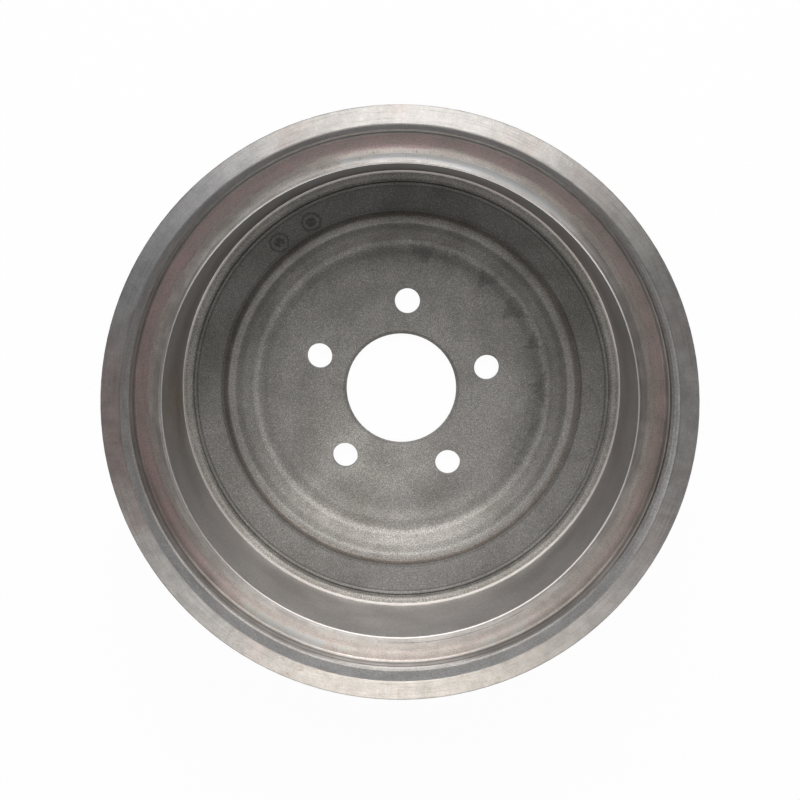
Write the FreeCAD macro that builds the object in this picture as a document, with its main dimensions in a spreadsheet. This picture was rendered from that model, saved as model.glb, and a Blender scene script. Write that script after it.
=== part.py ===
"""Cast brake drum, one piece: barrel, open rim with a shield groove, dished web with bore and stud holes.

Millimetres. +Z runs along the axis out of the open side. The origin is the centre of the pilot
bore on the outer face of the web, which is the face that the wheel bears on.
"""
import FreeCAD, Part
import Sketcher
import math
import os

NODE = "brake_drum"

# Largest difference at which an edge still counts as lying at a stated radius and height
EDGE_MATCH = 0.01

# Driving dimensions: alias, value, meaning
SIZES = [
    ("friction_dia", 279.4, "bore that the shoes rub on"),
    ("friction_width", 76.0, "length of that bore along the axis"),
    ("barrel_wall", 10.3, "casting outside the friction bore"),
    ("mouth_chamfer", 0.8, "lead-in at the open end of the friction bore"),
    ("mouth_cone_width", 6.4, "outward slope from the mouth to the shield groove, radially"),
    ("mouth_cone_depth", 7.0, "the same slope, along the axis"),
    ("groove_depth", 11.3, "shield groove, below the mouth of the friction bore"),
    ("lip_offset", 20.3, "from the friction bore out to the bore of the rim"),
    ("lip_draft", 0.9, "taper of the bore of the rim"),
    ("ledge_step", 0.9, "small ledge where the rim's bore meets the groove"),
    ("lip_wall", 11.0, "width of the turned face of the rim"),
    ("lip_rise", 22.0, "rim above the mouth of the friction bore"),
    ("rim_floor", 5.7, "casting under the groove at the outside of the rim"),
    ("rim_flare", 20.8, "slope from the underside of the rim down to the barrel"),
    ("relief_width", 1.3, "tool run-out at the closed end of the friction bore"),
    ("relief_depth", 0.9, "depth of that run-out"),
    ("shoulder_width", 6.3, "cast shoulder inside the run-out"),
    ("shoulder_drop", 0.2, "shoulder below the end of the friction bore"),
    ("bead_gap", 0.6, "fine step between the shoulder and the bead"),
    ("bead_step", 0.8, "depth of that step"),
    ("bead_width", 2.6, "fine raised casting line beside the shoulder"),
    ("bead_height", 0.6, "height of that line"),
    ("cone_width", 15.4, "sloping cast floor from the bead in to the crease"),
    ("cone_depth", 7.8, "fall of that floor"),
    ("ridge_flank", 3.6, "from the crease in to the top of the rounded ridge"),
    ("ridge_top", 4.2, "width of the top of the ridge"),
    ("ridge_height", 3.1, "ridge above the crease"),
    ("bowl_slope", 11.8, "slope from the ridge in to the flat web, radially"),
    ("bowl_depth", 17.0, "from the end of the friction bore down to the flat web"),
    ("web_thick", 7.5, "flat web at the wheel face"),
    ("back_wall", 8.2, "casting behind the dished floor"),
    ("back_shift", 3.5, "wheel face beyond the foot of the bowl"),
    ("barrel_bevel", 5.0, "bevel round the closed end of the barrel"),
    ("bore_dia", 71.6, "pilot bore"),
    ("stud_circle_dia", 114.3, "circle through the stud holes"),
    ("stud_dia", 16.3, "stud hole"),
    ("stud_count", 5, "stud holes"),
    ("rim_chamfer", 0.6, "broken edges of the rim"),
    ("groove_chamfer", 1.2, "corner of the shield groove"),
    ("bore_lead", 2.0, "bevel of the inner edge of the pilot bore"),
    ("bore_chamfer", 0.6, "broken outer edge of the pilot bore"),
    ("ridge_round", 2.6, "both sides of the ridge"),
    ("bowl_round", 6.0, "foot of the bowl"),
    ("barrel_round", 4.0, "both sides of the bevel of the barrel"),
    ("flare_round", 5.0, "foot of the slope under the rim"),
]

# Heights along the axis, as formulas of the sheet
WEB = "sizes.web_thick"
SHOULDER = f"({WEB} + sizes.bowl_depth)"
MOUTH = f"({SHOULDER} + sizes.friction_width)"
LIP = f"({MOUTH} + sizes.lip_rise)"
GROOVE = f"({MOUTH} - sizes.groove_depth)"
CROWN_TOP = f"({SHOULDER} - sizes.shoulder_drop)"
STEP_FLOOR = f"({CROWN_TOP} - sizes.bead_step)"
BEAD_TOP = f"({STEP_FLOOR} + sizes.bead_height)"
CREASE = f"({STEP_FLOOR} - sizes.cone_depth)"
RIDGE = f"({CREASE} + sizes.ridge_height)"
RIM_UNDER = f"({GROOVE} - sizes.rim_floor)"
BACK_STEP = f"({CREASE} - sizes.back_wall)"
BACK = f"({SHOULDER} - sizes.back_wall)"

# Radii, as formulas of the sheet
FRICTION = "sizes.friction_dia / 2"
LIP_BORE = f"({FRICTION} + sizes.lip_offset)"
LEDGE = f"({LIP_BORE} - sizes.lip_draft)"
GROOVE_WALL = f"({LEDGE} - sizes.ledge_step)"
MOUTH_CONE = f"({FRICTION} + sizes.mouth_cone_width)"
BARREL = f"({FRICTION} + sizes.barrel_wall)"
RIM = f"({LIP_BORE} + sizes.lip_wall)"
CROWN = f"({FRICTION} - sizes.shoulder_width)"
BEAD_OUT = f"({CROWN} - sizes.bead_gap)"
FLOOR = f"({BEAD_OUT} - sizes.bead_width)"
CREASE_IN = f"({FLOOR} - sizes.cone_width)"
RIDGE_OUT = f"({CREASE_IN} - sizes.ridge_flank)"
RIDGE_IN = f"({RIDGE_OUT} - sizes.ridge_top)"
BOWL_FOOT = f"({RIDGE_IN} - sizes.bowl_slope)"

# Half section, from the axis up the inside, over the rim and back down the outside:
# corner name, radius, height, alias of the round on that corner
SECTION = [
    ("web_centre", "0", WEB, None),
    ("bowl_foot", BOWL_FOOT, WEB, "bowl_round"),
    ("ridge_inner", RIDGE_IN, RIDGE, "ridge_round"),
    ("ridge_outer", RIDGE_OUT, RIDGE, "ridge_round"),
    ("crease", CREASE_IN, CREASE, None),
    ("floor_edge", FLOOR, STEP_FLOOR, None),
    ("bead_inner", f"{FLOOR} + sizes.bead_width / 3", BEAD_TOP, None),
    ("bead_outer", f"{BEAD_OUT} - sizes.bead_width / 4", BEAD_TOP, None),
    ("bead_foot", BEAD_OUT, STEP_FLOOR, None),
    ("shoulder_crown", CROWN, CROWN_TOP, None),
    ("relief_floor", f"{FRICTION} - sizes.relief_width", f"{SHOULDER} - sizes.relief_depth", None),
    ("friction_end", FRICTION, SHOULDER, None),
    ("friction_mouth", FRICTION, MOUTH, None),
    ("mouth_edge", f"{FRICTION} + sizes.mouth_chamfer", f"{MOUTH} + sizes.mouth_chamfer", None),
    ("mouth_cone_foot", MOUTH_CONE, f"{MOUTH} - sizes.mouth_cone_depth", None),
    ("groove_floor", f"{GROOVE_WALL} - sizes.groove_chamfer", GROOVE, None),
    ("groove_wall", GROOVE_WALL, f"{GROOVE} + sizes.groove_chamfer", None),
    ("ledge_inner", GROOVE_WALL, f"{MOUTH} - sizes.ledge_step", None),
    ("ledge_outer", LEDGE, MOUTH, None),
    ("lip_inner", LIP_BORE, LIP, None),
    ("lip_outer", RIM, LIP, None),
    ("rim_underside", RIM, RIM_UNDER, None),
    ("barrel_top", BARREL, f"{RIM_UNDER} - sizes.rim_flare", "flare_round"),
    ("bevel_top", BARREL, f"{BACK} + sizes.barrel_bevel", "barrel_round"),
    ("bevel_foot", f"{BARREL} - sizes.barrel_bevel", BACK, "barrel_round"),
    ("back_outer", f"{FLOOR} + sizes.bead_gap", BACK, None),
    ("back_step_outer", CREASE_IN, BACK_STEP, None),
    ("back_step_inner", RIDGE_IN, BACK_STEP, None),
    ("wheel_face_edge", f"{BOWL_FOOT} + sizes.back_shift", "0", None),
    ("wheel_face_centre", "0", "0", None),
]

# Sketcher's own numbers for the origin of a sketch
ORIGIN = (-1, 1)


def make_sheet(doc):
    """One row for each driving dimension: value with its alias, and its meaning."""
    sheet = doc.addObject("Spreadsheet::Sheet", "sizes")
    for row, (alias, value, meaning) in enumerate(SIZES, start=1):
        sheet.set(f"A{row}", str(value))
        sheet.setAlias(f"A{row}", alias)
        sheet.set(f"B{row}", meaning)
    doc.recompute()
    return sheet


def origin_feature(body, role):
    """The body's own origin plane or axis with the given role."""
    return next(item for item in body.Origin.OriginFeatures if item.Role == role)


def new_sketch(body, name, plane_role):
    """A sketch on one of the body's own origin planes."""
    sketch = body.newObject("Sketcher::SketchObject", name)
    sketch.AttachmentSupport = [(origin_feature(body, plane_role), "")]
    sketch.MapMode = "FlatFace"
    return sketch


def formula_value(holder, formula):
    """Value of a formula of the sheet, as a plain number."""
    value = holder.evalExpression(formula)
    return float(getattr(value, "Value", value))


def lay_on_axis(sketch, item, end, axis):
    """Hold one coordinate of a point at zero, on the sketch's own axis."""
    line = -2 if axis == "X" else -1
    sketch.addConstraint(Sketcher.Constraint("PointOnObject", item, end, line))


def place_point(sketch, item, end, name, axis, formula):
    """Bind one coordinate of a point to its formula, or lay the point on the axis."""
    if formula == "0":
        lay_on_axis(sketch, item, end, axis)
        return
    guess = formula_value(sketch, formula)
    index = sketch.addConstraint(Sketcher.Constraint(f"Distance{axis}", *ORIGIN, item, end, guess))
    label = f"{name}_{axis.lower()}"
    sketch.renameConstraint(index, label)
    sketch.setExpression(f"Constraints.{label}", formula)


def round_arc(before, corner, after, radius):
    """Start, middle and end of the arc that rounds a corner between two straight edges."""
    back = (before - corner).normalize()
    ahead = (after - corner).normalize()
    half_angle = back.getAngle(ahead) / 2
    reach = radius / math.tan(half_angle)
    bisector = (back + ahead).normalize()
    depth = radius / math.sin(half_angle) - radius
    return corner + back * reach, corner + bisector * depth, corner + ahead * reach


def join_lines(sketch, line_in, line_out, corner, arc, alias):
    """Round the corner with an arc tangent to both lines, the corner itself kept as a point."""
    start, middle, end = arc
    curve = sketch.addGeometry(Part.ArcOfCircle(start, middle, end), False)
    point = sketch.addGeometry(Part.Point(corner), True)
    drawn_forward = sketch.getPoint(curve, 1).distanceToPoint(start) < EDGE_MATCH
    first, last = (1, 2) if drawn_forward else (2, 1)
    sketch.addConstraint(Sketcher.Constraint("Tangent", line_in, 2, curve, first))
    sketch.addConstraint(Sketcher.Constraint("Tangent", curve, last, line_out, 1))
    sketch.addConstraint(Sketcher.Constraint("PointOnObject", point, 1, line_in))
    sketch.addConstraint(Sketcher.Constraint("PointOnObject", point, 1, line_out))
    guess = formula_value(sketch, f"sizes.{alias}")
    radius = sketch.addConstraint(Sketcher.Constraint("Radius", curve, guess))
    label = f"{alias}_{curve}"
    sketch.renameConstraint(radius, label)
    sketch.setExpression(f"Constraints.{label}", f"sizes.{alias}")
    return point


def draw_section(body):
    """Closed half section in the XZ plane, every corner and round bound to the sheet."""
    sketch = new_sketch(body, "half_section", "XZ_Plane")
    corners = []
    for _, radius, height, _ in SECTION:
        corners.append(FreeCAD.Vector(formula_value(sketch, radius), formula_value(sketch, height), 0))
    count = len(SECTION)
    starts = list(corners)
    ends = list(corners)
    arcs = {}
    for index, (_, _, _, alias) in enumerate(SECTION):
        if alias:
            radius = formula_value(sketch, f"sizes.{alias}")
            after = corners[(index + 1) % count]
            arcs[index] = round_arc(corners[index - 1], corners[index], after, radius)
            ends[index] = arcs[index][0]
            starts[index] = arcs[index][2]
    for line in range(count):
        sketch.addGeometry(Part.LineSegment(starts[line], ends[(line + 1) % count]), False)
    for index, (name, radius, height, alias) in enumerate(SECTION):
        line_in = (index - 1) % count
        if alias:
            item = join_lines(sketch, line_in, index, corners[index], arcs[index], alias)
        else:
            item = index
            sketch.addConstraint(Sketcher.Constraint("Coincident", line_in, 2, index, 1))
        place_point(sketch, item, 1, name, "X", radius)
        place_point(sketch, item, 1, name, "Y", height)
    return sketch


def revolve_section(body, sketch):
    """The casting, as the section turned once about the axis."""
    casting = body.newObject("PartDesign::Revolution", "casting")
    casting.Profile = sketch
    casting.ReferenceAxis = (sketch, ["V_Axis"])
    casting.Angle = 360
    sketch.Visibility = False
    return casting


def ring_edges(shape, spots):
    """Names of the circular edges about the axis that pass through the given radius and height."""
    names = []
    for number, edge in enumerate(shape.Edges, start=1):
        curve = edge.Curve
        if not isinstance(curve, Part.Circle):
            continue
        for radius, height in spots:
            if abs(curve.Radius - radius) < EDGE_MATCH and abs(curve.Center.z - height) < EDGE_MATCH:
                names.append(f"Edge{number}")
    return names


def bevel_rings(body, name, alias, spots):
    """A chamfer on the ring edges at the given radii and heights, its size bound to the sheet."""
    base = body.Tip
    names = ring_edges(base.Shape, spots)
    if len(names) != len(spots):
        raise RuntimeError(f"{name}: found {len(names)} of {len(spots)} edges")
    chamfer = body.newObject("PartDesign::Chamfer", name)
    chamfer.Base = (base, names)
    chamfer.setExpression("Size", f"sizes.{alias}")
    body.Document.recompute()
    return chamfer


def cut_circle(body, name, diameter, distance):
    """Round hole through the web, with its centre on the Y axis at the given distance."""
    sketch = new_sketch(body, f"{name}_circle", "XY_Plane")
    radius = formula_value(sketch, diameter) / 2
    centre = FreeCAD.Vector(0, formula_value(sketch, distance), 0)
    sketch.addGeometry(Part.Circle(centre, FreeCAD.Vector(0, 0, 1), radius), False)
    size = sketch.addConstraint(Sketcher.Constraint("Diameter", 0, 2 * radius))
    sketch.renameConstraint(size, "diameter")
    sketch.setExpression("Constraints.diameter", diameter)
    lay_on_axis(sketch, 0, 3, "X")
    if distance == "0":
        lay_on_axis(sketch, 0, 3, "Y")
    else:
        place = sketch.addConstraint(Sketcher.Constraint("DistanceY", *ORIGIN, 0, 3, centre.y))
        sketch.renameConstraint(place, "distance")
        sketch.setExpression("Constraints.distance", distance)
    pocket = body.newObject("PartDesign::Pocket", name)
    pocket.Profile = sketch
    pocket.Type = "ThroughAll"
    pocket.Reversed = True
    sketch.Visibility = False
    before = body.Document.getObject(pocket.BaseFeature.Name).Shape.Volume
    body.Document.recompute()
    if pocket.Shape.Volume >= before:
        raise RuntimeError(f"{name} cuts nothing")
    return pocket


def repeat_round_axis(body, name, feature):
    """Equal copies of a feature about the axis, their number bound to the sheet."""
    pattern = body.newObject("PartDesign::PolarPattern", name)
    pattern.Originals = [feature]
    pattern.Axis = (origin_feature(body, "Z_Axis"), [""])
    pattern.Angle = 360
    pattern.setExpression("Occurrences", "sizes.stud_count")
    body.Tip = pattern
    body.Document.recompute()
    return pattern


def make_drum(doc):
    """The whole casting with its machined bore, stud holes and edges."""
    body = doc.addObject("PartDesign::Body", NODE)
    body.Label = NODE
    sketch = draw_section(body)
    revolve_section(body, sketch)
    doc.recompute()
    lip = formula_value(sketch, LIP)
    rim_edges = [(formula_value(sketch, LIP_BORE), lip), (formula_value(sketch, RIM), lip)]
    bevel_rings(body, "rim_edges", "rim_chamfer", rim_edges)
    cut_circle(body, "pilot_bore", "sizes.bore_dia", "0")
    bore_radius = formula_value(sketch, "sizes.bore_dia / 2")
    bevel_rings(body, "bore_inner_edge", "bore_lead", [(bore_radius, formula_value(sketch, WEB))])
    bevel_rings(body, "bore_outer_edge", "bore_chamfer", [(bore_radius, 0.0)])
    stud_hole = cut_circle(body, "stud_hole", "sizes.stud_dia", "sizes.stud_circle_dia / 2")
    repeat_round_axis(body, "stud_holes", stud_hole)
    body.Placement = FreeCAD.Placement()
    return body


def check_document(doc):
    """Stop if any feature failed, or if the body has no single valid solid."""
    for item in doc.Objects:
        if "Invalid" in item.State or "Error" in item.State:
            raise RuntimeError(f"{item.Name} failed: {item.State}")
        if hasattr(item, "Shape") and item.isDerivedFrom("PartDesign::Feature"):
            if item.Shape.isNull() or not item.Shape.isValid():
                raise RuntimeError(f"{item.Name} has no valid shape")


def write_parts(doc):
    """One STEP file for each body, named by its label."""
    os.makedirs("parts", exist_ok=True)
    for body in doc.findObjects("PartDesign::Body"):
        if body.Shape.isNull() or not body.Shape.isValid() or len(body.Shape.Solids) != 1:
            raise RuntimeError(f"{body.Label} is not one valid solid")
        body.Shape.exportStep(f"parts/{body.Label}.step")
        print(body.Label, round(body.Shape.Volume), "mm3", body.Shape.BoundBox)


def main():
    doc = FreeCAD.newDocument("brake_drum_model")
    make_sheet(doc)
    make_drum(doc)
    doc.recompute()
    check_document(doc)
    write_parts(doc)


main()
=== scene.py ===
"""Brake drum: procedural iron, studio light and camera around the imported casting.

Metres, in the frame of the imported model: +Z out of the open side, +Y through a stud hole.
"""
import bpy
import math
from mathutils import Matrix, Vector

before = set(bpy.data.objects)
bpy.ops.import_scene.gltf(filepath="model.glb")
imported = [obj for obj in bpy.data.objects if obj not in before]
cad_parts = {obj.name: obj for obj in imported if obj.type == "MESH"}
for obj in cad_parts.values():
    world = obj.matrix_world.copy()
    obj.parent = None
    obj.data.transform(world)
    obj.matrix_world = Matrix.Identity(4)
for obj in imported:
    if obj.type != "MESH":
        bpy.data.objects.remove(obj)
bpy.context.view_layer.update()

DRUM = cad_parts["brake_drum"]
MM = 0.001

# Radii and heights at which the finish changes, in millimetres
LIP_RADIUS = 160.0
LIP_HEIGHT = 122.5
LEDGE_RADIUS = 158.9
GROOVE_OUTER = 157.2
GROOVE_INNER = 146.1
FRICTION_RADIUS = 139.7
SHOULDER_RADIUS = 138.6
MOUTH_HEIGHT = 100.5
SHOULDER_HEIGHT = 24.5
FLOOR_HEIGHT = 19.5

# Slots of the finishes on the drum, in the order in which dress_drum adds them
CAST, RIM, RECESS, FRICTION, EDGE, LIP = range(6)

# The photograph's upright, turned from the stud hole on +Y
PHOTO_TURN = math.radians(3.944)

# A sector is a bearing, half width and blur in degrees, clockwise from the photograph's upright,
# and the factor on the tone there. The factors were set against the photograph. Many of
# them stand for its light, which the lamps don't give in full, and not for marks on the iron.

# The crease outside the ridge, a little redder than the skin round it: its radii and blur
CREASE = (110.8, 114.6, 1.0)

# Rings of the cast skin: inner and outer radius, blur, factor all round, sectors. Most of them are
# painted light and shade.
CAST_LIGHT_AND_SHADE_RINGS = [
    # Web round the pilot bore and the stud holes, lighter low down and at the top as painted light
    (0.0, 65.0, 15.0, 1.0, [(200, 48, 28, 1.34), (236, 36, 20, 1.14)]),
    (30.0, 88.0, 4.0, 0.93, []),
    (54.0, 80.0, 6.0, 1.0, [(208, 24, 16, 1.26)]),
    (70.0, 84.0, 6.0, 1.0, [(4, 44, 24, 1.28)]),
    # Foot and slope of the bowl: the foot darker as painted shade, the slope pale as painted light,
    # lighter low down and darker on the sides
    (87.0, 91.6, 1.4, 0.82, []),
    (93.2, 96.2, 1.0, 1.20, []),
    (95.0, 107.0, 3.0, 1.30, []),
    (80.0, 111.0, 5.0, 1.0, [
        (88, 26, 22, 0.82),
        (122, 18, 18, 0.78),
        (180, 48, 24, 1.32),
        (196, 26, 20, 1.22),
        (272, 26, 22, 0.86),
    ]),
    # Ridge: painted shade just inside it, a painted highlight along its top
    (102.6, 106.2, 1.0, 0.78, []),
    (107.0, 111.0, 0.8, 1.14, []),
    (106.8, 109.6, 0.8, 1.0, [(272, 26, 18, 0.86), (340, 50, 20, 1.15)]),
    # Crease: painted shade, lighter low down and on the right
    (*CREASE, 1.0, [
        (35, 34, 18, 1.26),
        (90, 30, 20, 1.26),
        (180, 55, 30, 1.7),
        (276, 30, 18, 0.78),
    ]),
    (112.4, 115.6, 1.6, 0.78, []),
    (114.9, 116.3, 0.5, 0.68, [(90, 34, 20, 0.66), (272, 26, 16, 0.78)]),
    # Floor: painted shade, darkest at the top below the wall, lighter at the lower left
    (116.0, 129.9, 0.8, 0.78, []),
    (115.5, 130.0, 1.0, 1.0, [
        (0, 34, 26, 0.76),
        (62, 18, 14, 1.16),
        (235, 28, 20, 1.34),
        (285, 16, 14, 0.96),
    ]),
    # Casting line and shoulder; the shoulder lighter low down and darker on the sides as painted light
    # and shade
    (129.7, 130.7, 0.3, 0.56, []),
    (130.5, 138.6, 0.5, 1.0, [
        (104, 22, 16, 0.82),
        (180, 48, 24, 1.24),
        (205, 32, 20, 1.20),
        (285, 24, 16, 0.78),
    ]),
    (132.2, 133.1, 0.3, 0.56, [(90, 34, 18, 1.65), (180, 26, 16, 0.68), (270, 22, 14, 1.45)]),
    (132.9, 134.8, 0.6, 1.0, [(188, 50, 24, 0.68), (270, 22, 14, 1.30)]),
    (133.0, 138.6, 0.4, 1.66, []),
    (133.1, 134.3, 0.6, 0.66, []),
    (135.1, 136.5, 0.6, 1.18, []),
]

# Tongues of old oil: bearing, half width, blur, length in millimetres
TONGUES = [
    (8.5, 4.2, 3.2, 8.5),
    (38, 3.2, 3.0, 10.0),
    (54.5, 4.2, 3.4, 10.0),
    (70, 2.6, 2.4, 8.0),
    (90, 4.2, 3.8, 8.0),
    (106, 3.4, 3.2, 7.0),
]

# Plain round ink spots on the cast floor: bearing, radius
INK_SPOTS = [(-39.3, 122.0), (-28.0, 121.5)]

# Square lamps aimed at a point on the drum's axis: name, tilt off the axis and bearing in
# degrees, watts
LAMPS = [
    ("key", 48, 0, 13.8),
    ("upper_near", 22, 0, 1.9),
    ("lower_near", 24, 180, 6.4),
    ("right", 45, 45, 3.8),
    ("left", 45, -45, 3.4),
]

# Their side, their distance from that point and its height, in millimetres
LAMP_SIDE = 650
LAMP_DISTANCE = 1500
LAMP_AIM_HEIGHT = 60

# Strength of the white world round it all
WORLD_STRENGTH = 0.02

# The camera and its target, in the photograph's own right, up and outward directions
CAMERA_PLACE = (9.04, 92.92, 932.8)
CAMERA_TARGET = (-0.87, -7.82, 3.75)
CAMERA_LENS = 64.35

# The ground: its side in metres, and the share of plain white in what the camera sees of it.
# The rest is lit, and keeps the shadow.
GROUND_SIDE = 60.0
GROUND_WHITE = 0.97


class Graph:
    """Short calls that add shader nodes to one material."""

    def __init__(self, name):
        self.material = bpy.data.materials.new(name)
        self.material.use_nodes = True
        self.tree = self.material.node_tree
        self.tree.nodes.clear()
        self.output = self.tree.nodes.new("ShaderNodeOutputMaterial")
        self.read_place()

    def read_place(self):
        """Place, radius, height, angle and facing of the shaded point, in millimetres and radians."""
        coordinates = self.tree.nodes.new("ShaderNodeTexCoord")
        self.place = self.scaled(coordinates.outputs["Object"], 1 / MM)
        split = self.tree.nodes.new("ShaderNodeSeparateXYZ")
        self.wire(self.place, split.inputs[0])
        self.x, self.y, self.z = split.outputs
        squares = [self.math("MULTIPLY", side, side) for side in (self.x, self.y)]
        self.radius = self.math("SQRT", self.math("ADD", *squares))
        clockwise = self.math("ARCTAN2", self.x, self.y)
        self.angle = self.math("ADD", clockwise, PHOTO_TURN)
        geometry = self.tree.nodes.new("ShaderNodeNewGeometry")
        self.normal = geometry.outputs["Normal"]
        facing = self.tree.nodes.new("ShaderNodeSeparateXYZ")
        self.wire(self.normal, facing.inputs[0])
        self.upward = self.step(facing.outputs[2], -0.05, 0.10)

    def wire(self, value, socket):
        """Link an output to a socket, or set the socket to a plain value."""
        if isinstance(value, bpy.types.NodeSocket):
            self.tree.links.new(value, socket)
        else:
            socket.default_value = value

    def math(self, operation, first, second=0.0, third=0.0):
        node = self.tree.nodes.new("ShaderNodeMath")
        node.operation = operation
        for socket, value in zip(node.inputs, (first, second, third)):
            self.wire(value, socket)
        return node.outputs[0]

    def times(self, *values):
        product = values[0]
        for value in values[1:]:
            product = self.math("MULTIPLY", product, value)
        return product

    def vector(self, operation, first, second=(0.0, 0.0, 0.0)):
        node = self.tree.nodes.new("ShaderNodeVectorMath")
        node.operation = operation
        self.wire(first, node.inputs[0])
        self.wire(second, node.inputs[1])
        return node.outputs[0]

    def scaled(self, vector, factor):
        return self.vector("MULTIPLY", vector, (factor, factor, factor))

    def length(self, vector):
        node = self.tree.nodes.new("ShaderNodeVectorMath")
        node.operation = "LENGTH"
        self.wire(vector, node.inputs[0])
        return node.outputs["Value"]

    def joined(self, x, y, z):
        node = self.tree.nodes.new("ShaderNodeCombineXYZ")
        for socket, value in zip(node.inputs, (x, y, z)):
            self.wire(value, socket)
        return node.outputs[0]

    def noise(self, vector, scale, detail=2.0, roughness=0.5):
        node = self.tree.nodes.new("ShaderNodeTexNoise")
        self.wire(vector, node.inputs["Vector"])
        node.inputs["Scale"].default_value = scale
        node.inputs["Detail"].default_value = detail
        node.inputs["Roughness"].default_value = roughness
        return node.outputs["Fac"]

    def cells(self, vector, scale):
        """Distance to the nearest of scattered points, and a random value for each."""
        node = self.tree.nodes.new("ShaderNodeTexVoronoi")
        self.wire(vector, node.inputs["Vector"])
        node.inputs["Scale"].default_value = scale
        split = self.tree.nodes.new("ShaderNodeSeparateColor")
        self.wire(node.outputs["Color"], split.inputs[0])
        return node.outputs["Distance"], split.outputs[0]

    def step(self, value, low, high):
        """0 below low, 1 above high, smooth between; falls instead where low is above high."""
        node = self.tree.nodes.new("ShaderNodeMapRange")
        node.interpolation_type = "SMOOTHSTEP"
        self.wire(value, node.inputs["Value"])
        rising = high > low
        node.inputs["From Min"].default_value = low if rising else high
        node.inputs["From Max"].default_value = high if rising else low
        node.inputs["To Min"].default_value = 0.0 if rising else 1.0
        node.inputs["To Max"].default_value = 1.0 if rising else 0.0
        return node.outputs[0]

    def band(self, value, start, end, blur):
        """1 between start and end, 0 outside, with soft ends."""
        rise = self.step(value, start - blur, start + blur)
        fall = self.step(value, end + blur, end - blur)
        return self.math("MULTIPLY", rise, fall)

    def sector(self, centre, half, blur):
        """1 within half degrees of a photograph bearing (0 up, 90 right), soft at its ends."""
        away = self.math("SUBTRACT", self.angle, math.radians(centre))
        wrapped = self.math("ABSOLUTE", self.math("WRAP", away, math.pi, -math.pi))
        return self.step(wrapped, math.radians(half + blur), math.radians(max(half - blur, 0)))

    def mix(self, share, first, second):
        node = self.tree.nodes.new("ShaderNodeMix")
        node.data_type = "RGBA"
        self.wire(share, node.inputs["Factor"])
        self.wire(first, node.inputs["A"])
        self.wire(second, node.inputs["B"])
        return node.outputs["Result"]

    def toned(self, colour, share, factor):
        """The colour times a factor, where the share is 1."""
        gain = self.math("ADD", 1.0, self.math("MULTIPLY", share, factor - 1.0))
        node = self.tree.nodes.new("ShaderNodeVectorMath")
        node.operation = "SCALE"
        self.wire(colour, node.inputs[0])
        self.wire(gain, node.inputs["Scale"])
        return node.outputs[0]

    def round_tones(self, colour, share, sectors):
        """Factors on the colour, each for a sector given as bearing, half width, blur and factor."""
        for bearing, half, blur, factor in sectors:
            colour = self.toned(colour, self.times(share, self.sector(bearing, half, blur)), factor)
        return colour

    def tinted(self, colour, share, tint):
        """The colour times a tint near 1, where the share is 1."""
        product = self.vector("MULTIPLY", colour, tint)
        return self.mix(share, colour, product)

    def bump(self, height, depth, normal=None):
        """Normal for a height of 0 to 1 that stands for depth in millimetres."""
        node = self.tree.nodes.new("ShaderNodeBump")
        self.wire(height, node.inputs["Height"])
        node.inputs["Strength"].default_value = 1.0
        node.inputs["Distance"].default_value = depth * MM
        if normal:
            self.wire(normal, node.inputs["Normal"])
        return node.outputs[0]

    def finish(self, colour, roughness, normal, metallic, anisotropy=0.0, tangent=None):
        shader = self.tree.nodes.new("ShaderNodeBsdfPrincipled")
        self.wire(colour, shader.inputs["Base Color"])
        self.wire(roughness, shader.inputs["Roughness"])
        self.wire(normal, shader.inputs["Normal"])
        shader.inputs["Metallic"].default_value = metallic
        shader.inputs["Anisotropic"].default_value = anisotropy
        if tangent:
            self.wire(tangent, shader.inputs["Tangent"])
        self.wire(shader.outputs[0], self.output.inputs["Surface"])
        return self.material

    def across_grooves(self):
        """Direction across lathe grooves that run round the axis."""
        around = self.joined(self.math("MULTIPLY", self.y, -1.0), self.x, 0.0)
        return self.vector("NORMALIZE", self.vector("CROSS_PRODUCT", self.normal, around))

    def lathe_lines(self, pitch, wander, detail=3.0):
        """Streaks that run round the axis: fine across, long along."""
        across = self.math("DIVIDE", self.math("ADD", self.radius, self.z), pitch)
        east = self.math("MULTIPLY", self.math("SINE", self.angle), wander)
        north = self.math("MULTIPLY", self.math("COSINE", self.angle), wander)
        return self.noise(self.joined(across, east, north), 1.0, detail, 0.6)


def rgb(red, green, blue):
    """Linear colour from the 0 to 255 values of a picture."""
    def linear(value):
        share = value / 255
        return share / 12.92 if share <= 0.04045 else ((share + 0.055) / 1.055) ** 2.4
    return (linear(red), linear(green), linear(blue), 1.0)


def cast_light_and_shade(g, colour):
    """Painted light and shade on the cast skin ring by ring: pale on the slope, dark in the crease and on
    the floor.
    """
    inside = g.times(g.upward, g.step(g.z, 6.0, 7.0))
    for start, end, blur, factor, sectors in CAST_LIGHT_AND_SHADE_RINGS:
        share = g.times(g.band(g.radius, start, end, blur), inside)
        if factor != 1.0:
            colour = g.toned(colour, share, factor)
        colour = g.round_tones(colour, share, sectors)
    crease = g.times(g.band(g.radius, *CREASE), inside)
    return g.tinted(colour, crease, (1.04, 0.98, 0.95))


def drip_stains(g):
    """Dark tongues of old oil on the upper right of the bowl's slope."""
    teeth = g.noise(g.joined(g.math("MULTIPLY", g.angle, 9.0), 0.0, 0.0), 1.0, 2.0, 0.6)
    length = g.math("MULTIPLY", g.step(teeth, 0.40, 0.66), 4.5)
    for bearing, half, blur, reach in TONGUES:
        length = g.math("ADD", length, g.times(g.sector(bearing, half, blur), reach))
    ragged = g.noise(g.place, 0.22, 3.0, 0.6)
    wobble = g.math("MULTIPLY", g.math("SUBTRACT", ragged, 0.5), 9.0)
    uneven = g.math("ADD", g.radius, wobble)
    tail = g.step(g.math("ADD", uneven, length), 93.8, 97.6)
    head = g.step(uneven, 95.2, 94.0)
    return g.times(tail, head, g.sector(52, 58, 12), g.upward)


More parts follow.
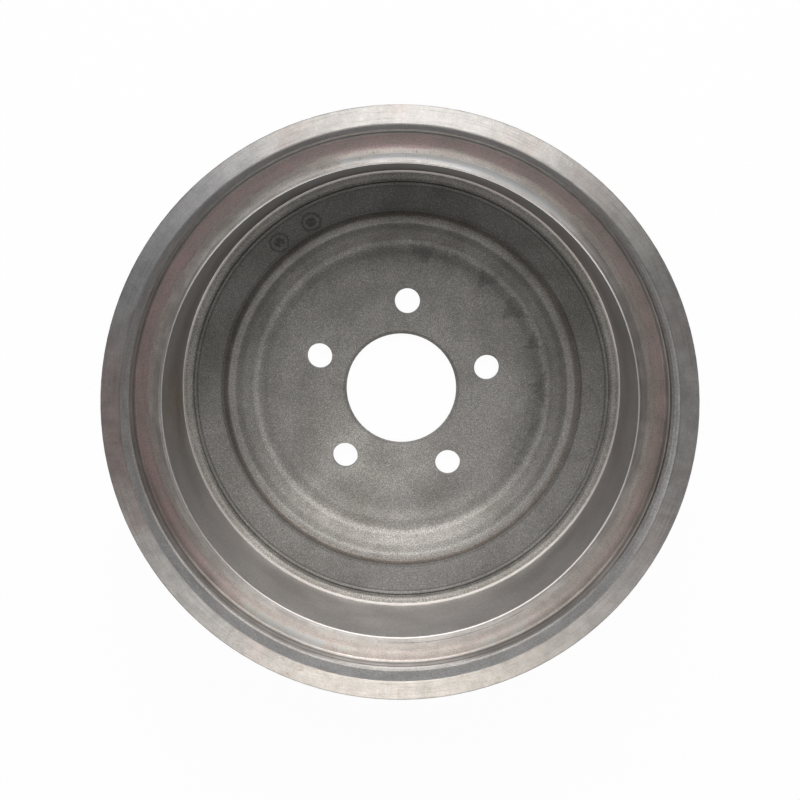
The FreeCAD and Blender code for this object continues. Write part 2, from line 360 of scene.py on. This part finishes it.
def ink_marks(g):
    """Faint plain round ink spots on the floor, left of the top."""
    total = 0.0
    for bearing, radius in INK_SPOTS:
        turn = math.radians(bearing) - PHOTO_TURN
        centre = (radius * math.sin(turn), radius * math.cos(turn), FLOOR_HEIGHT)
        uneven = g.math("MULTIPLY", g.math("SUBTRACT", g.noise(g.place, 0.35, 2.0), 0.5), 2.6)
        distance = g.math("ADD", g.length(g.vector("SUBTRACT", g.place, centre)), uneven)
        ring = g.band(distance, 5.3, 6.6, 0.5)
        spot = g.step(distance, 4.0, 2.6)
        total = g.math("MAXIMUM", total, g.math("MAXIMUM", ring, spot))
    worn = g.step(g.noise(g.place, 0.6, 2.0, 0.6), 0.30, 0.50)
    return g.times(total, worn, g.upward)


def cast_iron():
    """Sand-cast skin: sandpaper grain, blotched, warm grey."""
    g = Graph("cast_skin")
    grain = g.noise(g.place, 1.5, 3.0, 0.7)
    sand, chance = g.cells(g.place, 1.2)
    blotch = g.noise(g.place, 0.026, 4.0, 0.62)
    colour = g.mix(g.step(blotch, 0.34, 0.66), rgb(128, 125, 120), rgb(147, 144, 140))
    colour = g.toned(colour, g.step(grain, 0.56, 0.38), 0.56)
    colour = g.toned(colour, g.step(grain, 0.54, 0.68), 1.50)
    colour = g.toned(colour, g.step(chance, 0.85, 0.95), 1.18)
    colour = cast_light_and_shade(g, colour)
    colour = g.toned(colour, drip_stains(g), 0.71)
    # Painted shade: a darker band at the foot of the bowl, on the upper right
    painted_shade_band = g.times(g.band(g.radius, 84.0, 93.5, 3.0), g.sector(58, 50, 16), g.upward)
    colour = g.toned(colour, painted_shade_band, 0.93)
    colour = g.mix(g.times(ink_marks(g), 0.66), colour, rgb(42, 44, 52))
    height = g.math("ADD", g.math("MULTIPLY", grain, 0.7), g.math("MULTIPLY", sand, 0.3))
    normal = g.bump(height, 0.17)
    roughness = g.math("ADD", 0.50, g.math("MULTIPLY", grain, 0.22))
    return g.finish(colour, roughness, normal, 0.35)


def rim_iron():
    """Faced rim: long bright lathe streaks and heat tints, and sectors toned to the photograph as painted
    highlight and shade.
    """
    g = Graph("turned_rim")
    streaks = g.lathe_lines(0.9, 5.0)
    fine = g.lathe_lines(0.28, 14.0, 2.0)
    smear = g.noise(g.place, 0.09, 4.0, 0.65)
    grit = g.noise(g.place, 1.3, 2.0, 0.6)
    round_marks = g.joined(g.math("MULTIPLY", g.angle, 60.0), g.math("MULTIPLY", g.radius, 0.05), 0.0)
    chatter = g.noise(round_marks, 1.0, 2.0)
    colour = g.mix(g.step(smear, 0.32, 0.68), rgb(190, 186, 182), rgb(210, 206, 202))
    colour = g.toned(colour, g.step(streaks, 0.50, 0.34), 0.86)
    colour = g.toned(colour, g.step(fine, 0.48, 0.32), 0.88)
    colour = g.toned(colour, g.step(grit, 0.52, 0.38), 0.90)
    colour = g.toned(colour, g.step(grit, 0.54, 0.66), 1.05)
    heat = g.step(g.noise(g.place, 0.035, 3.0, 0.6), 0.50, 0.66)
    colour = g.tinted(colour, heat, (1.0, 0.955, 0.95))
    colour = g.toned(colour, g.step(chatter, 0.58, 0.70), 0.94)
    colour = g.tinted(colour, g.sector(268, 16, 12), (0.90, 0.80, 0.80))
    colour = g.tinted(colour, g.sector(306, 22, 14), (0.93, 0.97, 1.03))
    colour = g.tinted(colour, g.sector(88, 26, 16), (0.98, 0.99, 1.01))
    colour = g.tinted(colour, g.sector(176, 34, 16), (1.04, 1.01, 0.97))
    smudge = g.times(g.step(g.noise(g.place, 0.2, 3.0, 0.7), 0.56, 0.70), g.sector(186, 34, 14))
    colour = g.tinted(colour, smudge, (0.84, 0.80, 0.74))
    # Painted highlight and shade: sectors that widen and narrow the bright gleam at top and bottom and
    # darken the sides
    colour = g.round_tones(colour, 1.0, [
        (0, 12, 10, 0.88),
        (26, 10, 9, 1.16),
        (57, 17, 12, 0.74),
        (208, 14, 12, 1.18),
        (238, 16, 10, 1.18),
        (305, 18, 12, 0.74),
        (334, 9, 9, 1.02),
    ])
    colour = g.toned(colour, g.step(g.radius, 170.2, 170.7), 0.70)
    normal = g.bump(g.math("ADD", g.math("MULTIPLY", streaks, 0.6), g.math("MULTIPLY", fine, 0.4)), 0.015)
    roughness = g.math("ADD", 0.50, g.math("MULTIPLY", smear, 0.10))
    return g.finish(colour, roughness, normal, 1.0, 0.87, g.across_grooves())


def ledge_tones(g, colour, lower, upper):
    """Narrow ledge at the foot of the lip's bore: a painted highlight, the bright line low down in the
    photograph, darker above as painted shade, and painted shade on its inner edge low down.
    """
    ledge = g.step(g.z, 99.2, 99.6)
    colour = g.toned(colour, g.times(ledge, lower), 1.7)
    colour = g.toned(colour, g.times(ledge, upper), 0.75)
    colour = g.round_tones(colour, ledge, [(200, 44, 20, 1.75), (90, 24, 14, 1.20)])
    inner = g.times(ledge, g.step(g.radius, 159.65, 159.45))
    return g.round_tones(colour, inner, [(192, 60, 22, 0.36)])


def groove_wall_tones(g, colour, lower, upper):
    """Outer wall of the shield groove and the corner at its foot: painted shade, deeper lower down and at
    the top and bottom, and painted light on the sides and on the corner low down.
    """
    wall = g.times(g.step(g.radius, 157.9, 158.1), g.step(g.z, 99.5, 99.1))
    colour = g.toned(colour, wall, 0.78)
    colour = g.toned(colour, g.times(wall, g.step(g.z, 95.5, 91.5)), 0.62)
    colour = g.round_tones(colour, wall, [
        (180, 36, 26, 0.66),
        (0, 40, 26, 0.72),
        (95, 34, 18, 1.95),
        (262, 26, 16, 1.75),
        (0, 22, 18, 0.80),
        (184, 30, 18, 1.42),
        (207, 14, 10, 1.36),
    ])
    brow = g.times(wall, g.step(g.z, 96.4, 97.6))
    colour = g.round_tones(colour, brow, [(92, 36, 18, 1.60)])
    edge = g.times(wall, g.step(g.z, 97.2, 98.2))
    colour = g.round_tones(colour, edge, [(184, 40, 18, 0.50)])
    foot = g.times(g.step(g.radius, 156.8, 157.2), g.step(g.z, 91.0, 90.4))
    colour = g.toned(colour, g.times(foot, lower), 1.35)
    colour = g.toned(colour, g.times(foot, upper), 0.74)
    return g.round_tones(colour, foot, [(98, 34, 18, 1.70), (0, 22, 18, 0.80), (207, 18, 12, 1.26)])


def groove_tones(g, colour, smear):
    """Floor of the shield groove, with a mauve stain that is ragged on its inner side, and painted light
    and shade by bearing.
    """
    groove = g.band(g.radius, GROOVE_INNER, GROOVE_OUTER, 0.5)
    colour = g.tinted(colour, groove, (1.62, 1.56, 1.52))
    clean_below = g.math("SUBTRACT", 1.0, g.math("MULTIPLY", g.sector(176, 48, 26), 0.85))
    clean_right = g.math("SUBTRACT", 1.0, g.math("MULTIPLY", g.sector(92, 44, 22), 0.35))
    patches = g.math("ADD", 0.65, g.math("MULTIPLY", g.step(smear, 0.40, 0.60), 0.35))
    ragged = g.math("ADD", g.radius, g.math("MULTIPLY", g.math("SUBTRACT", smear, 0.5), 9.0))
    mauve = g.times(groove, clean_below, clean_right, patches, g.step(ragged, 148.6, 150.4))
    colour = g.tinted(colour, mauve, (0.82, 0.70, 0.73))
    # Painted light and shade by bearing, on the whole floor and then on its inner and outer halves
    colour = g.round_tones(colour, groove, [
        (0, 30, 24, 0.78),
        (88, 34, 22, 1.30),
        (194, 34, 20, 1.40),
        (276, 26, 16, 1.30),
        (330, 10, 10, 0.90),
        (209, 12, 10, 1.14),
        (150, 12, 10, 1.12),
    ])
    inner = g.times(groove, g.step(g.radius, 152.0, 148.4))
    colour = g.round_tones(colour, inner, [
        (0, 14, 12, 1.65),
        (24, 12, 8, 1.24),
        (90, 34, 18, 0.88),
        (150, 16, 12, 0.84),
        (206, 50, 18, 0.78),
        (270, 26, 14, 0.90),
        (318, 20, 12, 0.80),
    ])
    outer = g.times(groove, g.step(g.radius, 150.0, 153.0))
    return g.round_tones(colour, outer, [(150, 16, 12, 1.22), (207, 14, 10, 1.18)])


def cone_tones(g, colour):
    """Mouth cone: pale, with painted highlights at the top, upper left and lower left and painted shade
    on the right, sand pits above, a scratch and a smudge below.
    """
    cone = g.step(g.radius, GROOVE_INNER + 0.4, GROOVE_INNER - 0.4)
    colour = g.toned(colour, cone, 1.60)
    # Painted highlight and shade by bearing
    colour = g.round_tones(colour, cone, [
        (4, 40, 22, 1.40),
        (18, 28, 12, 1.30),
        (26, 16, 10, 1.22),
        (90, 24, 14, 0.90),
        (208, 12, 10, 1.12),
        (300, 14, 12, 1.26),
    ])
    spread = g.joined(g.math("MULTIPLY", g.angle, 70.0), g.math("MULTIPLY", g.radius, 0.5), 0.0)
    pore, chance = g.cells(spread, 1.0)
    pits = g.times(g.step(pore, 0.20, 0.10), g.step(chance, 0.35, 0.45))
    pits = g.times(pits, g.band(g.radius, 143.6, 147.2, 0.5))
    colour = g.round_tones(colour, pits, [(350, 26, 12, 0.35)])
    colour = g.round_tones(colour, g.band(g.radius, 144.2, 144.7, 0.15), [(166, 17, 1.5, 0.45)])
    smudge = g.times(g.step(g.noise(g.place, 0.16, 3.0, 0.7), 0.52, 0.68), cone)
    return g.round_tones(colour, smudge, [(168, 20, 8, 0.72)])


def recess_iron():
    """Ledge, groove and mouth cone: turned, stained mauve, specked where sand broke out, with painted
    light and shade by bearing.
    """
    g = Graph("turned_recess")
    lines = g.lathe_lines(0.55, 6.0)
    smear = g.noise(g.place, 0.08, 4.0, 0.6)
    grit = g.noise(g.place, 1.2, 2.0, 0.6)
    # The lower sector, bearings 125 to 281, and the rest: painted light below, painted shade above
    lower = g.sector(203, 78, 24)
    upper = g.math("SUBTRACT", 1.0, lower)
    colour = g.mix(g.step(smear, 0.32, 0.68), rgb(168, 163, 159), rgb(184, 180, 176))
    colour = g.toned(colour, g.step(lines, 0.50, 0.34), 0.90)
    colour = g.toned(colour, g.step(grit, 0.54, 0.38), 0.82)
    colour = ledge_tones(g, colour, lower, upper)
    colour = groove_wall_tones(g, colour, lower, upper)
    colour = groove_tones(g, colour, smear)
    colour = cone_tones(g, colour)
    normal = g.bump(lines, 0.013)
    roughness = g.math("ADD", 0.44, g.math("MULTIPLY", smear, 0.10))
    return g.finish(colour, roughness, normal, 1.0, 0.98, g.across_grooves())


def lip_iron():
    """Bore of the lip: matt bluish grey, with a strip of bare casting low down on the right and a painted
    highlight along its foot low down.
    """
    g = Graph("lip_bore")
    lines = g.lathe_lines(0.6, 6.0)
    smear = g.noise(g.place, 0.07, 4.0, 0.6)
    grit = g.noise(g.place, 0.8, 3.0, 0.7)
    colour = g.mix(g.step(smear, 0.32, 0.68), rgb(182, 182, 183), rgb(198, 198, 198))
    colour = g.toned(colour, g.step(lines, 0.50, 0.34), 0.93)
    colour = g.toned(colour, g.step(grit, 0.56, 0.38), 0.70)
    colour = g.toned(colour, g.step(grit, 0.54, 0.66), 1.10)
    bare = g.times(g.step(g.z, 112.0, 108.0), g.sector(92, 36, 14))
    colour = g.toned(colour, bare, 1.20)
    for low, high, sector in [
        (107.0, 110.0, (90, 32, 16, 1.42)),
        (111.0, 107.0, (90, 32, 16, 0.72)),
        (114.0, 119.0, (90, 32, 16, 1.25)),
        (117.0, 121.0, (0, 34, 20, 1.42)),
    ]:
        colour = g.round_tones(colour, g.step(g.z, low, high), [sector])
    # Painted highlight: a bright line at the foot of the bore, low down
    painted_foot_highlight = g.times(g.step(g.z, 105.0, 104.0), g.sector(196, 52, 20))
    colour = g.tinted(colour, painted_foot_highlight, (1.95, 1.88, 1.82))
    colour = g.toned(colour, g.times(bare, g.step(grit, 0.50, 0.64)), 1.35)
    normal = g.bump(lines, 0.02)
    normal = g.bump(g.times(grit, g.math("ADD", bare, 0.35)), 0.22, normal)
    roughness = g.math("ADD", 0.50, g.math("MULTIPLY", smear, 0.12))
    return g.finish(colour, roughness, normal, 0.6, 0.4, g.across_grooves())


def friction_iron():
    """Friction bore: smooth, warm grey, toned to the photograph with painted shade at the top and painted
    light low down, and a brown stain on the left.
    """
    g = Graph("friction_bore")
    lines = g.lathe_lines(0.5, 5.0)
    cloud = g.noise(g.place, 0.03, 3.0, 0.55)
    grit = g.noise(g.place, 1.1, 2.0, 0.6)
    colour = g.mix(g.step(cloud, 0.3, 0.7), rgb(160, 156, 153), rgb(171, 167, 164))
    colour = g.toned(colour, g.step(lines, 0.5, 0.3), 0.91)
    colour = g.toned(colour, g.step(grit, 0.54, 0.38), 0.76)
    ragged = g.step(g.noise(g.place, 0.1, 3.0), 0.35, 0.60)
    stain = g.times(g.sector(268, 9, 7), g.step(g.z, 95.0, 80.0), ragged)
    colour = g.tinted(colour, stain, (0.98, 0.86, 0.72))
    # Lighter towards the closed end
    colour = g.toned(colour, g.step(g.z, 60.0, 28.0), 1.14)
    deep = g.step(g.z, 55.0, 28.0)
    # Painted shade at the top and painted light low down, with more of both towards the closed end
    colour = g.round_tones(colour, 1.0, [
        (0, 62, 36, 0.74),
        (30, 20, 16, 1.10),
        (172, 88, 24, 1.20),
        (224, 24, 18, 1.12),
    ])
    colour = g.round_tones(colour, deep, [
        (0, 50, 30, 0.72),
        (0, 12, 12, 0.80),
        (62, 20, 14, 1.24),
        (340, 26, 16, 0.70),
    ])
    colour = g.tinted(colour, g.times(deep, g.sector(10, 60, 20)), (1.08, 0.98, 0.89))
    normal = g.bump(lines, 0.012)
    roughness = g.math("ADD", 0.40, g.math("MULTIPLY", cloud, 0.1))
    return g.finish(colour, roughness, normal, 0.9, 0.8, g.across_grooves())


def edge_iron():
    """Broken edges at both ends of the friction bore, pale as a painted highlight, with painted shade and
    highlights by bearing.
    """
    g = Graph("painted_edge_highlight")
    worn = g.noise(g.place, 0.4, 3.0, 0.6)
    # Near white: a painted highlight
    colour = g.mix(g.step(worn, 0.35, 0.65), rgb(248, 240, 234), rgb(255, 249, 245))
    closed_end = g.step(g.z, 60.0, 40.0)
    # Painted shade on the closed end's edge in three sectors
    colour = g.round_tones(colour, closed_end, [
        (104, 22, 14, 0.66),
        (224, 14, 12, 0.84),
        (258, 26, 14, 0.60),
    ])
    mouth = g.step(g.z, 60.0, 80.0)
    # Painted shade on the outer part of the mouth's edge, painted highlights at top and bottom and
    # painted shade on the sides
    colour = g.toned(colour, g.times(mouth, g.step(g.radius, 140.0, 140.25)), 0.52)
    colour = g.round_tones(colour, mouth, [
        (5, 56, 20, 1.80),
        (92, 22, 14, 0.56),
        (180, 36, 16, 1.30),
        (260, 36, 16, 0.50),
    ])
    rolled = g.band(g.radius, 138.75, 139.35, 0.35)
    normal = g.bump(worn, 0.05, g.bump(rolled, 0.4))
    roughness = g.math("ADD", 0.35, g.math("MULTIPLY", worn, 0.2))
    return g.finish(colour, roughness, normal, 0.2)


def face_zone(centre):
    """Slot of the finish of a face, from its middle point in millimetres."""
    radius = math.hypot(centre.x, centre.y)
    height = centre.z
    if height > LIP_HEIGHT - 0.7:
        return RIM
    if SHOULDER_RADIUS < radius < FRICTION_RADIUS + 0.75:
        if abs(height - SHOULDER_HEIGHT) < 1.0 and radius < FRICTION_RADIUS - 0.1:
            return EDGE
        if height > MOUTH_HEIGHT + 0.1:
            return EDGE
        if height > SHOULDER_HEIGHT:
            return FRICTION
    if radius < LIP_RADIUS + 0.2 and height > MOUTH_HEIGHT - 13:
        return LIP if height > MOUTH_HEIGHT + 0.2 and radius > LEDGE_RADIUS else RECESS
    return CAST


def dress_drum():
    """Give each face of the casting its cast or turned finish."""
    materials = [cast_iron(), rim_iron(), recess_iron(), friction_iron(), edge_iron(), lip_iron()]
    DRUM.data.materials.clear()
    for material in materials:
        DRUM.data.materials.append(material)
    for face in DRUM.data.polygons:
        face.material_index = face_zone(face.center / MM)


def picture_point(right, up, out):
    """A point in millimetres from the photograph's own right, up and outward directions."""
    turn = PHOTO_TURN
    x = right * math.cos(turn) - up * math.sin(turn)
    y = right * math.sin(turn) + up * math.cos(turn)
    return Vector((x, y, out)) * MM


def aim(item, target, up):
    """Point an object's -Z at the target with its +Y towards up."""
    back = (item.location - target).normalized()
    side = up.cross(back).normalized()
    top = back.cross(side)
    item.rotation_mode = "QUATERNION"
    rows = [(side[i], top[i], back[i]) for i in range(3)]
    item.rotation_quaternion = Matrix(rows).to_quaternion()


def make_camera():
    """The photograph's view: near the axis, from a little above it in the picture."""
    data = bpy.data.cameras.new("camera")
    data.sensor_width = 36.0
    data.lens = CAMERA_LENS
    data.clip_start = 0.05
    data.clip_end = 20
    camera = bpy.data.objects.new("camera", data)
    bpy.context.scene.collection.objects.link(camera)
    camera.location = picture_point(*CAMERA_PLACE)
    aim(camera, picture_point(*CAMERA_TARGET), picture_point(0, 1000, 0))
    bpy.context.scene.camera = camera


def softbox(name, tilt, bearing, watts):
    """Square lamp, tilted off the drum's axis towards a photograph bearing."""
    data = bpy.data.lights.new(name, "AREA")
    data.shape = "SQUARE"
    data.size = LAMP_SIDE * MM
    data.energy = watts
    lamp = bpy.data.objects.new(name, data)
    bpy.context.scene.collection.objects.link(lamp)
    away = LAMP_DISTANCE * math.sin(math.radians(tilt))
    right = away * math.sin(math.radians(bearing))
    up = away * math.cos(math.radians(bearing))
    out = LAMP_AIM_HEIGHT + LAMP_DISTANCE * math.cos(math.radians(tilt))
    lamp.location = picture_point(right, up, out)
    aim(lamp, picture_point(0, 0, LAMP_AIM_HEIGHT), Vector((0.02, 0.03, 1.0)))


def make_light():
    """Softboxes mostly above the drum in the picture, two of them near its axis."""
    for name, tilt, bearing, watts in LAMPS:
        softbox(name, tilt, bearing, watts)
    world = bpy.data.worlds.new("room")
    bpy.context.scene.world = world
    world.use_nodes = True
    background = world.node_tree.nodes["Background"]
    background.inputs["Color"].default_value = (1, 1, 1, 1)
    background.inputs["Strength"].default_value = WORLD_STRENGTH


def white_ground():
    """Plain white to the camera and in reflections, lit a little so that a shadow stays."""
    material = bpy.data.materials.new("white_ground")
    material.use_nodes = True
    tree = material.node_tree
    tree.nodes.clear()
    output = tree.nodes.new("ShaderNodeOutputMaterial")
    mix = tree.nodes.new("ShaderNodeMixShader")
    plain = tree.nodes.new("ShaderNodeBsdfDiffuse")
    plain.inputs["Color"].default_value = (0.8, 0.8, 0.8, 1)
    glow = tree.nodes.new("ShaderNodeEmission")
    path = tree.nodes.new("ShaderNodeLightPath")
    seen = tree.nodes.new("ShaderNodeMath")
    seen.operation = "MULTIPLY"
    seen.inputs[1].default_value = GROUND_WHITE
    direct = path.outputs["Is Camera Ray"]
    for ray in ("Is Glossy Ray", "Is Transmission Ray"):
        either = tree.nodes.new("ShaderNodeMath")
        either.operation = "MAXIMUM"
        tree.links.new(direct, either.inputs[0])
        tree.links.new(path.outputs[ray], either.inputs[1])
        direct = either.outputs[0]
    tree.links.new(direct, seen.inputs[0])
    tree.links.new(seen.outputs[0], mix.inputs[0])
    tree.links.new(plain.outputs[0], mix.inputs[1])
    tree.links.new(glow.outputs[0], mix.inputs[2])
    tree.links.new(mix.outputs[0], output.inputs["Surface"])
    return material


def make_floor():
    """Ground under the drum, for the picture only."""
    bpy.ops.mesh.primitive_plane_add(size=GROUND_SIDE, location=(0, 0, 0))
    floor = bpy.context.object
    floor.name = "floor"
    floor.data.materials.append(white_ground())


dress_drum()
make_camera()
make_light()
make_floor()

bpy.context.scene.view_settings.view_transform = "Standard"
